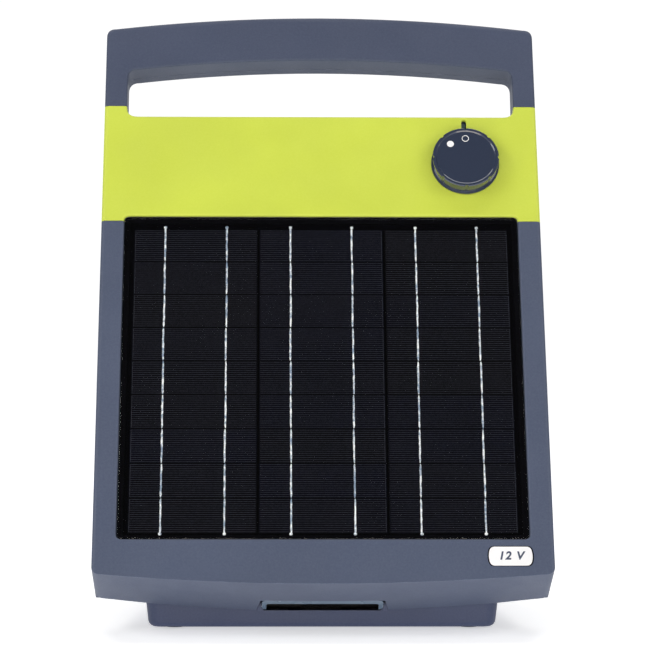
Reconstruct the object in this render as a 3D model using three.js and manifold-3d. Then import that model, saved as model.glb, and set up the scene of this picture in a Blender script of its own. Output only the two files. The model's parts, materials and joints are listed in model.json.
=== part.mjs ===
// Solar fence energizer: a free-standing case with a sloping solar panel, a carrying handle,
// an on/off knob, a battery bay closed by a hinged base, and two output terminals at the back.
//
// Millimetres, +Z up, the panel faces -Y, origin under the middle of the case on the ground.
// Most front pieces are drawn in the "face" frame: x to the right, y up the sloping face,
// z straight out of the face, with its origin on the face just under the middle of the cells.

import * as THREE from 'three';
import { mergeVertices } from 'three/addons/utils/BufferGeometryUtils.js';
import { ConvexGeometry } from 'three/addons/geometries/ConvexGeometry.js';
import Module from 'manifold-3d';

const wasm = await Module();
wasm.setup();

// ---------------------------------------------------------------- driving dimensions

const LEAN = THREE.MathUtils.degToRad(30);   // the face leans back this far from upright
const GAP = 0.3;                             // air left between touching pieces
const WALL = 3;                              // moulded wall thickness

// Solar cells: pieces of half wafers, three columns of nine.
const CELL_WIDTH = 77.4;
const COLUMN_PITCH = 78.8;
const CELL_PITCH = 22.85;
const CELL_COLUMNS = 3;
const CELL_ROWS = 9;
const ARRAY_HEIGHT = CELL_PITCH * CELL_ROWS;
const ARRAY_LIFT = 1;                        // middle of the cells above the face's origin

// Case, in the face frame.
const HALF_WIDTH = 138.5;
const FACE_LOW = -129.6;                     // height of the bottom corners
const FACE_LOW_BOW = 5.9;                    // how far the bottom edge bows down in the middle
const HANDLE_TOP = 249.7;
const HANDLE_TOP_BOW = 8.8;
const CASE_CORNER = 6;
const FRONT_EDGE = { wide: 2.6, deep: 1.8 }; // rounding of the face's outer edge
const OPENING_EDGE = 1.2;
const APERTURE_EDGE = 1;
const APERTURE = { half: 124.3, low: -106.9, high: 112, corner: 4 };
const FASCIA_LOW = 108.2;
const FASCIA_TOP = 191.2;
const FASCIA_SKIN = 2;
const OPENING = { half: 124.2, low: 184, high: 219, bow: 7.1, corner: 7 };

// The front and rear mouldings meet on a surface that is deep at the foot and shallow at the top.
const PARTING_FOOT_DEPTH = 47;
const PARTING_TOP_DEPTH = 9;
const PARTING_SIDE_LIFT = 6;                 // the foot of the joint is this much shallower at the sides

// Case, in the upright frame. The face origin stands at (0, FACE_Y, FACE_Z).
const FACE_Y = -37.6;
const FACE_Z = 152.9;
const REAR_Y = FACE_Y + 112;                 // outside of the upright rear wall
const REAR_TOP_Z = 296;
const REAR_HALF_WIDTH = 107;
const BASE_TOP_Z = 23.7;                     // top rim of the base cover
const BASE_LOW_Z = 1.2;                      // underside of the base cover, above the feet
const BASE_FRONT_Y = FACE_Y - 23.5;
const BASE_REAR_Y = REAR_Y - 2;
const BASE_HALF_TOP = 108.6;
const BASE_HALF_LOW = 106.2;
const HINGE = { y: REAR_Y + 4.1, z: 22, radius: 3.6, pin: 1.5, inner: 60, middle: 72, outer: 84 };

// Controls.
const KNOB = { x: 92, y: 149, radius: 21.8, top: 21.1, height: 10.2, dish: 18.5 };
const KNOB_MARK_RADIUS = 13.6;
const SPINDLE_RADIUS = 3;

const KNOB_BUSH = 3.9;                       // radius of the switch bush the knob turns around
const KNOB_NOTCHES = 8;
const NOTCH = { radius: 1.5, deep: 0.9 };
const SWITCH_HIGH = 5.8;                     // front and back of the switch below the face
const SWITCH_DEEP = 20;
const POINTER = { half: 1.6, low: 160, high: 181.5 };
const LENS = { back: -5.2, front: -4 };      // the lens lies at the foot of its slot

// Blank plate near the bottom right corner.
const PLATE = { x: 112, y: -117.9, half: 13.4, height: 12.2, bulge: 1, corner: 3.6 };
const PLATE_MARGIN = 0.5;
const PLATE_POCKET = 0.8;
const PLATE_PROUD = 0.2;

// Handle back and rear shell.
const HANDLE_SPLIT = FASCIA_TOP - 1;         // height where the handle back meets the rear shell
const HANDLE_REAR = { foot: 22, grip: 17.5, top: 16.5 };
const HULL_TOP = 180;
const REAR_EDGE = 9;                         // rounding of the upright rear corners
const FLANGE_DEPTH = 6;
const FLANGE_LIFT = 2.6;                     // the rear flange stays hidden above the front lip
const BASE_WALL = 2.6;
const BASE_EDGE = 3.5;                       // rounding of the lower edge
const BAY_HALF = 98;
const FOOT = { radius: 8, height: 2.1, inset: 16 };
const BAIL_PIN = 0.8;

// Electronics and the post plate on the rear wall.
const BOARD = { half: 70, low: 140, high: 235, rear: FACE_Y + 101.6 };
const TRANSFORMER = { x: -34, y0: FACE_Y + 62, y1: FACE_Y + 98, z0: 145, z1: 193 };
const PLATE_SCREW_LOW = 180;
const PLATE_SCREW_HIGH = 280;
const PLATE_HALF = 30;
const PLATE_OUT = REAR_Y + 9.3;              // outer face of the post plate

// Latch bail in the slot of the bottom lip, and the window in the base wall behind it.
const SLOT = { half: 38, front: -30, flare: 4.4 };
const BAIL = {
  half: 36.8, front: -32, rear: -47.4, bar: 5.6, leg: 2.6,
  low: -134.4, high: -131, axisY: -132.7, axisZ: -45.4,
};
const EAR = { gap: 0.4, thick: 2, reach: 2.4 };
const LATCH_WINDOW = { half: 36, low: 11.8, high: 21.2 };

// Battery: a sealed 12 V 7 Ah block.
const BATTERY = { half: 75.5, front: FACE_Y + 10, rear: FACE_Y + 75, low: 7.1, high: 101.1 };

// Output terminals on the rear wall.
const TERMINAL = { x: 74, z: 118, stud: 3, bush: 6, flange: 9.5, nut: 10.5 };

// ---------------------------------------------------------------- materials

function finish(colour, roughness, metalness = 0) {
  return new THREE.MeshStandardMaterial({ color: colour, roughness, metalness });
}

const slatePlastic = finish(0x5a6276, 0.55);
const darkSlatePlastic = finish(0x4c5367, 0.6);
const basePlastic = finish(0x474e64, 0.6);
const limePlastic = finish(0xd2df53, 0.45);
const knobPlastic = finish(0x3a4054, 0.5);
const whitePrint = finish(0xf2f2f0, 0.5);
const satinSlate = finish(0x5f6f82, 0.3);
const blackPlastic = finish(0x18181c, 0.5);
const rubber = finish(0x1c1c1e, 0.9);
const glass = finish(0x0f1014, 0.12);
const silicon = finish(0x19181e, 0.35, 0.2);
const backsheetFilm = finish(0x0d0d10, 0.7);
const clearLens = finish(0x6f86a8, 0.15);
const steel = finish(0xb4b7bb, 0.35, 1);
const brass = finish(0xc9a24f, 0.35, 1);
const copper = finish(0xb46a35, 0.4, 0.9);
const coreSteel = finish(0x6b6d70, 0.5, 0.8);
const boardGreen = finish(0x1f5a36, 0.5);
const batteryCase = finish(0x2a2b30, 0.6);
const redPlastic = finish(0xb3231c, 0.4);
const greenPlastic = finish(0x1f7a3c, 0.4);
const foam = finish(0x3c3c40, 0.95);
const webbing = finish(0x202226, 0.85);

// ---------------------------------------------------------------- solids: make, cut and join

function signedVolume(position, triangles) {
  const a = new THREE.Vector3();
  const b = new THREE.Vector3();
  const c = new THREE.Vector3();
  let volume = 0;
  for (let i = 0; i < triangles.length; i += 3) {
    a.fromBufferAttribute(position, triangles[i]);
    b.fromBufferAttribute(position, triangles[i + 1]);
    c.fromBufferAttribute(position, triangles[i + 2]);
    volume += a.dot(b.cross(c)) / 6;
  }
  return volume;
}

function toSolid(geometry) {
  const bare = geometry.clone();
  bare.deleteAttribute('normal');
  bare.deleteAttribute('uv');
  const merged = mergeVertices(bare, 1e-3);
  const index = merged.index.array;
  const triangles = [];
  for (let i = 0; i < index.length; i += 3) {
    const [a, b, c] = [index[i], index[i + 1], index[i + 2]];
    if (a !== b && b !== c && c !== a) triangles.push(a, b, c);
  }
  if (signedVolume(merged.attributes.position, triangles) < 0) triangles.reverse();
  return new wasm.Manifold(new wasm.Mesh({
    numProp: 3,
    vertProperties: new Float32Array(merged.attributes.position.array),
    triVerts: new Uint32Array(triangles),
  }));
}

function toGeometry(solid) {
  const mesh = solid.getMesh();
  const geometry = new THREE.BufferGeometry();
  geometry.setAttribute('position', new THREE.BufferAttribute(mesh.vertProperties, 3));
  geometry.setIndex(new THREE.BufferAttribute(mesh.triVerts, 1));
  return geometry;
}

function combine(body, tools, action) {
  let result = toSolid(body);
  for (const tool of tools) result = result[action](toSolid(tool));
  return toGeometry(result);
}

const cut = (body, ...tools) => combine(body, tools, 'subtract');
const join = (body, ...tools) => combine(body, tools, 'add');
const keep = (body, ...tools) => combine(body, tools, 'intersect');

function block(x0, x1, y0, y1, z0, z1) {
  const box = new THREE.BoxGeometry(x1 - x0, y1 - y0, z1 - z0);
  return box.translate((x0 + x1) / 2, (y0 + y1) / 2, (z0 + z1) / 2);
}

function prism(shape, z0, z1, curveSegments = 8) {
  const solid = new THREE.ExtrudeGeometry(shape, { depth: z1 - z0, bevelEnabled: false, curveSegments });
  return solid.translate(0, 0, z0);
}

function drum(radius, z0, z1, x = 0, y = 0, segments = 24) {
  const cylinder = new THREE.CylinderGeometry(radius, radius, z1 - z0, segments);
  return cylinder.rotateX(Math.PI / 2).translate(x, y, (z0 + z1) / 2);
}

function ring(inner, outer, z0, z1, x = 0, y = 0, segments = 24) {
  return cut(drum(outer, z0, z1, x, y, segments), drum(inner, z0 - 1, z1 + 1, x, y, segments));
}

// A drum along X or along Y instead of Z.
const drumX = (radius, x0, x1, y, z, segments = 20) =>
  drum(radius, x0, x1, 0, 0, segments).rotateY(Math.PI / 2).translate(0, y, z);
const drumY = (radius, y0, y1, x, z, segments = 24) =>
  drum(radius, y0, y1, 0, 0, segments).rotateX(-Math.PI / 2).translate(x, 0, z);

function roundedShape(halfX, halfY, corner, x = 0, y = 0) {
  return bowedShape(halfX, y - halfY, 0, y + halfY, 0, corner, x);
}

// Adds a shallow arc along a top (bow > 0, drawn right to left) or a bottom (bow < 0, left to right).
function addBow(shape, centreX, half, y, bow) {
  const radius = (half * half + bow * bow) / (2 * Math.abs(bow));
  const sweep = Math.asin(half / radius);
  const middle = Math.sign(bow) * Math.PI / 2;
  shape.absarc(centreX, y + bow - Math.sign(bow) * radius, radius, middle - sweep, middle + sweep, false);
}

// A rectangle with rounded corners whose bottom and top edges may bow outwards in the middle.
function bowedShape(half, low, lowBow, high, highBow, corner, x = 0) {
  const run = half - corner;
  const shape = new THREE.Shape();
  shape.moveTo(x - run, low);
  if (lowBow > 0) addBow(shape, x, run, low, -lowBow);
  else shape.lineTo(x + run, low);
  shape.quadraticCurveTo(x + half, low, x + half, low + corner);
  shape.lineTo(x + half, high - corner);
  shape.quadraticCurveTo(x + half, high, x + run, high);
  if (highBow > 0) addBow(shape, x, run, high, highBow);
  else shape.lineTo(x - run, high);
  shape.quadraticCurveTo(x - half, high, x - half, high - corner);
  shape.lineTo(x - half, low + corner);
  shape.quadraticCurveTo(x - half, low, x - run, low);
  return shape;
}

// A round wire through a list of points.
function wire(points, radius) {
  const path = new THREE.CatmullRomCurve3(points.map((p) => new THREE.Vector3(...p)));
  const section = new THREE.Shape();
  section.absarc(0, 0, radius, 0, 2 * Math.PI, false);
  const steps = Math.min(40, Math.ceil(path.getLength() / (radius * 5)));
  return new THREE.ExtrudeGeometry(section, { steps, extrudePath: path, curveSegments: 4 });
}

// ---------------------------------------------------------------- groups and pieces

const group = new THREE.Group();
const face = new THREE.Group();
face.position.set(0, FACE_Y, FACE_Z);
face.rotation.x = Math.PI / 2 - LEAN;
group.add(face);
face.updateMatrix();

const uprightFromFace = (geometry) => geometry.applyMatrix4(face.matrix);
const bailAxis = new THREE.Vector3(0, BAIL.axisY, BAIL.axisZ).applyMatrix4(face.matrix);

function piece(name, material, geometry, parent = group) {
  const mesh = new THREE.Mesh(geometry, material);
  mesh.name = name;
  parent.add(mesh);
  return mesh;
}

const SIDES = [['left', -1], ['right', 1]];

// The stretch from near to far on the right, or its mirror image on the left, lowest x first.
function mirrored(side, near, far) {
  return side > 0 ? [near, far] : [-far, -near];
}

// ---------------------------------------------------------------- case outlines (face frame)

const DEEP = -90;                            // deeper than any front moulding

function caseOutline(inset = 0) {
  return bowedShape(HALF_WIDTH - inset, FACE_LOW + inset, FACE_LOW_BOW,
    HANDLE_TOP - inset, HANDLE_TOP_BOW, CASE_CORNER - Math.min(inset, CASE_CORNER - 2));
}

function openingShape(grow) {
  return bowedShape(OPENING.half + grow, OPENING.low - grow, 0,
    OPENING.high + grow, OPENING.bow, OPENING.corner + grow);
}

function handleOpening(grow = 0) {
  return prism(openingShape(grow), DEEP - 10, 10, 8);
}

const roundedOpening = () => flaredCutter(openingShape, OPENING_EDGE);

function caseBlank(inset, z0, z1) {
  return prism(caseOutline(inset), z0, z1, 10);
}

// The outside of the case: front edges rounded, but a crisp edge along the bottom, where the lip turns back.
function caseOutside() {
  const lowered = 12;
  const outline = bowedShape(HALF_WIDTH, FACE_LOW - lowered, FACE_LOW_BOW,
    HANDLE_TOP, HANDLE_TOP_BOW, CASE_CORNER);
  const rounded = new THREE.ExtrudeGeometry(outline, {
    depth: -DEEP,
    bevelThickness: FRONT_EDGE.deep,
    bevelSize: FRONT_EDGE.wide,
    bevelOffset: -FRONT_EDGE.wide,
    bevelSegments: 4,
    curveSegments: 10,
  });
  return keep(rounded.translate(0, 0, DEEP - FRONT_EDGE.deep), caseBlank(0, DEEP, 5));
}

// A cutter that widens over its last few millimetres, so that the opening gets a rounded front edge.
function flaredCutter(shapeGrownBy, edge) {
  const flare = new THREE.ExtrudeGeometry(shapeGrownBy(edge), {
    depth: -DEEP,
    bevelThickness: edge,
    bevelSize: -edge,
    bevelSegments: 3,
    curveSegments: 8,
  });
  return join(flare.translate(0, 0, DEEP - edge), prism(shapeGrownBy(edge), -0.01, 5, 8));
}

const band = (y0, y1) => block(-150, 150, y0, y1, DEEP - 5, 5);

// How deep the joint between front and rear mouldings lies below the face.
function partingDepth(x, y) {
  const climb = (y - (FACE_LOW - FACE_LOW_BOW)) / (HANDLE_TOP + HANDLE_TOP_BOW - FACE_LOW + FACE_LOW_BOW);
  const middle = THREE.MathUtils.lerp(PARTING_FOOT_DEPTH, PARTING_TOP_DEPTH, climb);
  const lift = PARTING_SIDE_LIFT * (x / HALF_WIDTH) ** 2 * (1 - climb);
  return middle - lift;
}

// Everything that lies more than `extra` behind the joint surface.
function behindParting(extra) {
  const box = new THREE.BoxGeometry(310, 460, 200, 12, 1, 1).translate(0, 60, 0);
  const position = box.attributes.position;
  for (let i = 0; i < position.count; i += 1) {
    const front = position.getZ(i) > 0;
    const depth = partingDepth(position.getX(i), position.getY(i)) + extra;
    position.setZ(i, front ? -depth : -260);
  }
  return box;
}

// ---------------------------------------------------------------- front mouldings

const SCREW_SPOTS = [[-1, -96], [1, -96], [-1, 168], [1, 168]];
const SCREW_X = 130.3;

function screwBoss(side, y, top = WALL - 0.4) {
  return ring(2.3, 4.4, -60, -top, side * SCREW_X, y);
}

// Runs past the top of the frame, where the fascia closes it.
function apertureShape(grow) {
  const top = APERTURE.high + 20;
  return roundedShape(APERTURE.half + grow, (top - APERTURE.low) / 2 + grow,
    APERTURE.corner + grow, 0, (top + APERTURE.low) / 2);
}

function frontFrame() {
  const outer = keep(caseOutside(), band(-150, FASCIA_LOW - GAP));
  const hollow = caseBlank(WALL, DEEP - 5, -WALL);
  const aperture = flaredCutter(apertureShape, APERTURE_EDGE);
  const platePocket = prism(plateShape(PLATE_MARGIN), -PLATE_POCKET, 2);
  let frame = cut(outer, hollow, aperture, lipSlot(), platePocket);
  for (const [side, y] of SCREW_SPOTS.slice(0, 2)) frame = join(frame, screwBoss(side, y));
  return cut(frame, behindParting(-GAP / 2));
}

// The notch in the bottom lip, open at the rear edge and slightly flared there.
function lipSlot() {
  const corner = 2;
  const length = 30;
  const shape = new THREE.Shape();
  shape.moveTo(-SLOT.half, SLOT.front - corner);
  shape.quadraticCurveTo(-SLOT.half, SLOT.front, -SLOT.half + corner, SLOT.front);
  shape.lineTo(SLOT.half - corner, SLOT.front);
  shape.quadraticCurveTo(SLOT.half, SLOT.front, SLOT.half, SLOT.front - corner);
  shape.lineTo(SLOT.half + SLOT.flare, SLOT.front - length);
  shape.lineTo(-SLOT.half - SLOT.flare, SLOT.front - length);
  return depthPrism(shape, FACE_LOW - 15, FACE_LOW + 8, 6);
}

// A shape drawn in (x, depth into the face) and extruded up the face from y0 to y1.
function depthPrism(shape, y0, y1, curveSegments = 8) {
  const solid = new THREE.ExtrudeGeometry(shape, { depth: y1 - y0, bevelEnabled: false, curveSegments });
  return solid.rotateX(Math.PI / 2).translate(0, y1, 0);
}

// A shape drawn in (depth, height) and extruded along x from x0 to x1.
function sideProfile(points, x0, x1) {
  const shape = new THREE.Shape(points.map(([depth, height]) => new THREE.Vector2(depth, height)));
  const solid = new THREE.ExtrudeGeometry(shape, { depth: x1 - x0, bevelEnabled: false });
  return solid.rotateY(Math.PI / 2).translate(x0, 0, 0);
}

// A shape drawn in upright (y, z) and extruded along x from x0 to x1.
function uprightProfile(points, x0, x1) {
  const shape = new THREE.Shape(points.map(([y, z]) => new THREE.Vector2(y, z)));
  const solid = new THREE.ExtrudeGeometry(shape, { depth: x1 - x0, bevelEnabled: false });
  return solid.rotateZ(Math.PI / 2).rotateY(Math.PI / 2).translate(x0, 0, 0);
}

// Straight top and bottom, rounded corners, and ends that bulge a little.
function plateShape(grow = 0) {
  const high = PLATE.height / 2 + grow;
  const corner = PLATE.corner + grow;
  const half = PLATE.half - PLATE.bulge + grow;
  const run = half - corner * 0.8;
  const straight = high - corner;
  const shape = new THREE.Shape();
  for (const side of [1, -1]) {
    const x = (offset) => PLATE.x + side * offset;
    const y = (offset) => PLATE.y + side * offset;
    if (side === 1) shape.moveTo(x(run), y(-high));
    else shape.lineTo(x(run), y(-high));
    shape.quadraticCurveTo(x(half), y(-high), x(half + PLATE.bulge / 2), y(-straight));
    shape.quadraticCurveTo(x(half + PLATE.bulge), y(0), x(half + PLATE.bulge / 2), y(straight));
    shape.quadraticCurveTo(x(half), y(high), x(run), y(high));
  }
  return shape;
}

// The pointer window above the knob: straight sides, round top.
function pointerShape(half) {
  const shape = new THREE.Shape();
  shape.moveTo(KNOB.x - half, POINTER.low);
  shape.lineTo(KNOB.x + half, POINTER.low);
  shape.lineTo(KNOB.x + half, POINTER.high - half);
  shape.absarc(KNOB.x, POINTER.high - half, half, 0, Math.PI, false);
  return shape;
}

function controlHoles() {
  return [
    drum(KNOB_BUSH + GAP, -20, 5, KNOB.x, KNOB.y),
    prism(pointerShape(POINTER.half), -20, 5, 6),
  ];
}

// The panel's upper end, where it runs up into the fascia.
function notchShape(grow) {
  const foot = FASCIA_LOW - 20;
  return roundedShape(APERTURE.half + grow, (APERTURE.high - foot) / 2 + grow,
    APERTURE.corner + grow, 0, (APERTURE.high + foot) / 2);
}

function handleFrame() {
  const under = FASCIA_SKIN + GAP;
  const inside = under + WALL;
  const upper = cut(keep(caseOutside(), band(FASCIA_TOP + GAP, 300)), roundedOpening());
  const lower = cut(keep(caseBlank(under, DEEP, -under), band(FASCIA_LOW, FASCIA_TOP + 2)),
    handleOpening(under), prism(notchShape(GAP), DEEP - 10, 10));
  const hollow = cut(caseBlank(inside, DEEP - 5, -inside), handleOpening(inside));
  let frame = cut(join(upper, lower), hollow, ...controlHoles());
  for (const [side, y] of SCREW_SPOTS.slice(2)) frame = join(frame, screwBoss(side, y, inside - 0.4));
  return cut(frame, behindParting(-GAP / 2));
}

function controlFascia() {
  const outer = keep(caseOutside(), band(FASCIA_LOW, FASCIA_TOP));
  const hollow = cut(caseBlank(FASCIA_SKIN, DEEP - 5, -FASCIA_SKIN), handleOpening(FASCIA_SKIN));
  const notch = flaredCutter(notchShape, APERTURE_EDGE);
  return cut(outer, roundedOpening(), hollow, notch, ...controlHoles(), behindParting(-GAP / 2));
}

// Closes the back of the handle: 6 mm behind the joint at the grip, deeper towards the case.
function handleRear() {
  const limit = (skin) => sideProfile([
    [-5, 150], [HANDLE_REAR.foot - skin, 150], [HANDLE_REAR.foot - skin, HANDLE_SPLIT],
    [HANDLE_REAR.grip - skin, 226], [HANDLE_REAR.top - skin, 270], [-5, 270],
  ], -150, 150);
  const outline = cut(keep(caseBlank(0, DEEP, 0), band(HANDLE_SPLIT, 300)), handleOpening());
  const hollow = cut(caseBlank(WALL, DEEP, 0), handleOpening(WALL));
  const outer = keep(outline, limit(0), behindParting(GAP / 2));
  return cut(outer, keep(hollow, limit(WALL)));
}

piece('front_frame', slatePlastic, frontFrame(), face);
piece('handle_frame', darkSlatePlastic, handleFrame(), face);
piece('control_fascia', limePlastic, controlFascia(), face);
piece('handle_rear', darkSlatePlastic, handleRear(), face);
piece('rating_plate', whitePrint, prism(plateShape(), -PLATE_POCKET + GAP, PLATE_PROUD, 8), face);
piece('pointer_lens', clearLens, prism(pointerShape(POINTER.half - GAP), LENS.back, LENS.front, 6), face);

// ---------------------------------------------------------------- rear shell (upright frame)

function caseHull(inset) {
  const points = [];
  const forward = inset > 0 ? -15 : 1;
  const frontHalf = HALF_WIDTH - 5 - inset;
  for (const y of [FACE_LOW + 4 + inset, HULL_TOP - inset]) {
    for (const x of [-frontHalf, frontHalf]) {
      points.push(new THREE.Vector3(x, y, -partingDepth(x, y) - forward).applyMatrix4(face.matrix));
    }
  }
  const steps = 4;
  for (const [z, radius] of [[BASE_TOP_Z + GAP + inset, REAR_EDGE], [REAR_TOP_Z - REAR_EDGE, REAR_EDGE],
    [REAR_TOP_Z - inset, REAR_EDGE / 2]]) {
    const drop = z === REAR_TOP_Z - inset ? REAR_EDGE - inset / 2 : 0;
    for (const side of [-1, 1]) {
      for (let i = 0; i <= steps; i += 1) {
        const angle = (i / steps) * (Math.PI / 2);
        const x = REAR_HALF_WIDTH - radius - drop + (radius - inset) * Math.cos(angle);
        const y = REAR_Y - radius - drop + (radius - inset) * Math.sin(angle);
        points.push(new THREE.Vector3(side * x, y, z));
      }
    }
  }
  return new ConvexGeometry(points);
}

function rearFlange() {
  const outline = cut(keep(caseBlank(0, DEEP, 0), band(FACE_LOW + FLANGE_LIFT, HANDLE_SPLIT - GAP)),
    handleOpening());
  return uprightFromFace(cut(keep(outline, behindParting(GAP / 2)), behindParting(FLANGE_DEPTH)));
}

function rearFlangeHollow() {
  const outline = cut(caseBlank(WALL, DEEP, 0), handleOpening(WALL));
  return uprightFromFace(cut(outline, behindParting(FLANGE_DEPTH - WALL)));
}

function rearShell() {
  const baseWell = block(-BASE_HALF_TOP - 1.6, BASE_HALF_TOP + 1.6, BASE_FRONT_Y - 5, BASE_REAR_Y + 10,
    -5, BASE_TOP_Z + GAP);
  const bay = block(-BAY_HALF, BAY_HALF, BASE_FRONT_Y - 5, BASE_REAR_Y - 8, 10, BASE_TOP_Z + 10);
  let shell = cut(join(rearFlange(), caseHull(0)), caseHull(WALL), rearFlangeHollow());
  for (const x of [-BOARD.half + 6, BOARD.half - 6]) {
    for (const z of [BOARD.low + 6, BOARD.high - 6]) {
      shell = join(shell, drumY(3, BOARD.rear + GAP, REAR_Y - 1, x, z, 12));
    }
  }
  for (const [side, y] of SCREW_SPOTS) {
    const depth = partingDepth(SCREW_X, y);
    const pad = drum(6, -depth - 7, -depth - GAP / 2, side * SCREW_X, y);
    const bore = drum(2.3, -depth - 30, 0, side * SCREW_X, y, 16);
    const headRoom = drum(4.6, -depth - 40, -depth - 4, side * SCREW_X, y, 20);
    shell = cut(join(shell, uprightFromFace(pad)), uprightFromFace(bore), uprightFromFace(headRoom));
  }
  for (const side of [-1, 1]) {
    const [near, far] = mirrored(side, HINGE.middle + GAP / 2, HINGE.outer);
    const lug = block(near, far, REAR_Y - 1, HINGE.y + 2, HINGE.z, HINGE.z + 9);
    shell = cut(join(shell, lug, drumX(HINGE.radius, near, far, HINGE.y, HINGE.z)),
      drumX(HINGE.pin + GAP, near - 1, far + 1, HINGE.y, HINGE.z, 16),
      drumY(TERMINAL.bush + GAP, REAR_Y - 10, REAR_Y + 5, side * TERMINAL.x, TERMINAL.z));
  }
  for (const z of [PLATE_SCREW_LOW, PLATE_SCREW_HIGH]) {
    const spacer = drumY(6, REAR_Y - 1, PLATE_OUT - 2 - GAP, 0, z, 20);
    shell = cut(join(shell, spacer), drumY(2.3, REAR_Y - 10, REAR_Y + 15, 0, z, 16));
  }
  return cut(keep(shell, uprightFromFace(behindParting(GAP / 2))), baseWell, bay);
}

piece('rear_shell', darkSlatePlastic, rearShell());

// ---------------------------------------------------------------- base cover, feet, hinge, latch bail

function taperTowardsFoot(geometry) {
  const position = geometry.attributes.position;
  for (let i = 0; i < position.count; i += 1) {
    const climb = (position.getZ(i) - BASE_LOW_Z) / (BASE_TOP_Z - BASE_LOW_Z);
    const scale = THREE.MathUtils.lerp(BASE_HALF_LOW / BASE_HALF_TOP, 1, climb);
    position.setX(i, position.getX(i) * scale);
  }
  return geometry;
}

function baseCover() {
  const middle = (BASE_FRONT_Y + BASE_REAR_Y) / 2;
  const halfDepth = (BASE_REAR_Y - BASE_FRONT_Y) / 2;
  const corner = 9;
  const blank = new THREE.ExtrudeGeometry(roundedShape(BASE_HALF_TOP, halfDepth, corner, 0, middle), {
    depth: BASE_TOP_Z,
    bevelThickness: BASE_EDGE,
    bevelSize: BASE_EDGE,
    bevelOffset: -BASE_EDGE,
    bevelSegments: 4,
    curveSegments: 8,
  }).translate(0, 0, BASE_LOW_Z + BASE_EDGE);
  const outer = keep(blank, block(-150, 150, -200, 200, 0, BASE_TOP_Z));
  const innerShape = roundedShape(BASE_HALF_LOW - BASE_WALL, halfDepth - BASE_WALL,
    corner - BASE_WALL, 0, middle);
  const inner = prism(innerShape, BASE_LOW_Z + BASE_WALL, BASE_TOP_Z + 5, 8);
  const window = block(-LATCH_WINDOW.half, LATCH_WINDOW.half, BASE_FRONT_Y - 5, BASE_FRONT_Y + BASE_WALL + 2,
    LATCH_WINDOW.low, LATCH_WINDOW.high);
  let cover = cut(taperTowardsFoot(outer), inner, window);
  for (const side of [-1, 1]) {
    const [near, far] = mirrored(side, HINGE.inner, HINGE.middle - GAP / 2);
    const arm = block(near, far, BASE_REAR_Y - 2, HINGE.y, HINGE.z - HINGE.radius, BASE_TOP_Z - 0.2);
    cover = cut(join(cover, arm, drumX(HINGE.radius, near, far, HINGE.y, HINGE.z)),
      drumX(HINGE.pin + GAP, near - 1, far + 1, HINGE.y, HINGE.z, 16));
    const [earNear, earFar] = mirrored(side, BAIL.half + EAR.gap, BAIL.half + EAR.gap + EAR.thick);
    const ear = block(earNear, earFar, bailAxis.y - EAR.reach, BASE_FRONT_Y + 1,
      bailAxis.z - EAR.reach, bailAxis.z + EAR.reach);
    cover = cut(join(cover, ear), drumX(BAIL_PIN + GAP, earNear - 1, earFar + 1, bailAxis.y, bailAxis.z, 12));
  }
  for (const [x, y] of footSpots()) cover = cut(cover, drum(FOOT.radius + GAP, -2, FOOT.height + GAP, x, y));
  return cover;
}

function footSpots() {
  const x = BASE_HALF_LOW - FOOT.inset;
  return [[-x, BASE_FRONT_Y + FOOT.inset], [x, BASE_FRONT_Y + FOOT.inset],
    [-x, BASE_REAR_Y - FOOT.inset], [x, BASE_REAR_Y - FOOT.inset]];
}

// A flat U-shaped pull that swings down out of the slot in the lip, on a pin through each leg.
function latchBail() {
  const halfDepth = (BAIL.front - BAIL.rear) / 2;
  const middle = (BAIL.front + BAIL.rear) / 2;
  const outer = depthPrism(roundedShape(BAIL.half, halfDepth, 4, 0, middle), BAIL.low, BAIL.high, 6);
  const throatFront = BAIL.front - BAIL.bar;
  const throat = roundedShape(BAIL.half - BAIL.leg, 2 * halfDepth, 2.5, 0, throatFront - 2 * halfDepth);
  const inner = depthPrism(throat, BAIL.low - 1, BAIL.high + 1, 6);
  return cut(outer, inner, drumX(BAIL_PIN + GAP, -60, 60, BAIL.axisY, BAIL.axisZ, 12));
}

piece('base_cover', basePlastic, baseCover());
['front_left', 'front_right', 'rear_left', 'rear_right'].forEach((corner, i) => {
  const [x, y] = footSpots()[i];
  piece(`foot_${corner}`, rubber, drum(FOOT.radius, 0, FOOT.height, x, y));
});
for (const [side, sign] of SIDES) {
  const x0 = sign > 0 ? HINGE.inner : -HINGE.outer;
  const x1 = x0 + HINGE.outer - HINGE.inner;
  piece(`hinge_pin_${side}`, steel, drumX(HINGE.pin, x0, x1, HINGE.y, HINGE.z, 16));
  const [pinNear, pinFar] = mirrored(sign, BAIL.half - BAIL.leg, BAIL.half + EAR.gap + EAR.thick);
  piece(`bail_pin_${side}`, steel, drumX(BAIL_PIN, pinNear, pinFar, bailAxis.y, bailAxis.z, 12));
}
piece('latch_bail', satinSlate, latchBail(), face);

// ---------------------------------------------------------------- solar panel (face frame)

function panelSheet(inset, z0, z1) {
  const half = APERTURE.half - GAP - inset;
  const halfHeight = (APERTURE.high - APERTURE.low) / 2 - GAP - inset;
  const middle = (APERTURE.high + APERTURE.low) / 2;
  return prism(roundedShape(half, halfHeight, Math.max(1, APERTURE.corner - inset), 0, middle), z0, z1, 4);
}

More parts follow.
